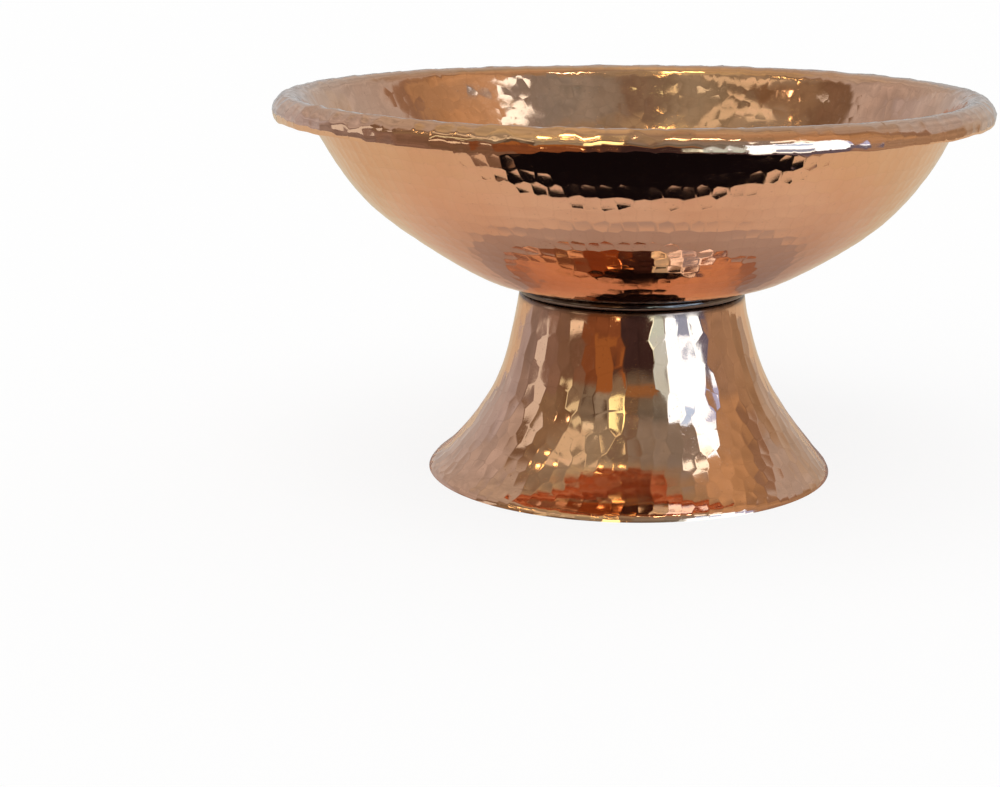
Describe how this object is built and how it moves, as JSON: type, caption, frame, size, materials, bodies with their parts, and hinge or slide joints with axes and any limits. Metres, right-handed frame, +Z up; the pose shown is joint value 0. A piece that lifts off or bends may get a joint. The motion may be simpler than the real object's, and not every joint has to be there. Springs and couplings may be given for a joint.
{
  "type": "footed bowl",
  "caption": "Wide hammered copper bowl with a turned-down lip on a flared hollow foot, joined at a narrow neck by a collar ring and a brazed seam.",
  "frame": {"origin": "on the table plane under the centre of the foot", "axes": "+Z up along the bowl's axis; the bowl is round, so X and Y are free"},
  "size_m": [0.32, 0.32, 0.1735],
  "materials": {
    "bowl_copper": "copper sheet, hand hammered all over and polished to a soft mirror",
    "foot_copper": "copper sheet, hammered in upright facets and polished to a soft mirror",
    "collar_copper": "copper ring, polished on its crown and darkened in the joints",
    "braze_alloy": "brazing metal as it flowed, dull and slightly lumpy"
  },
  "bodies": {
    "root": {"bowl_shell": "bowl_copper", "neck_collar": "collar_copper", "braze_fillet": "braze_alloy", "pedestal_skirt": "foot_copper"}
  },
  "joints": []
}
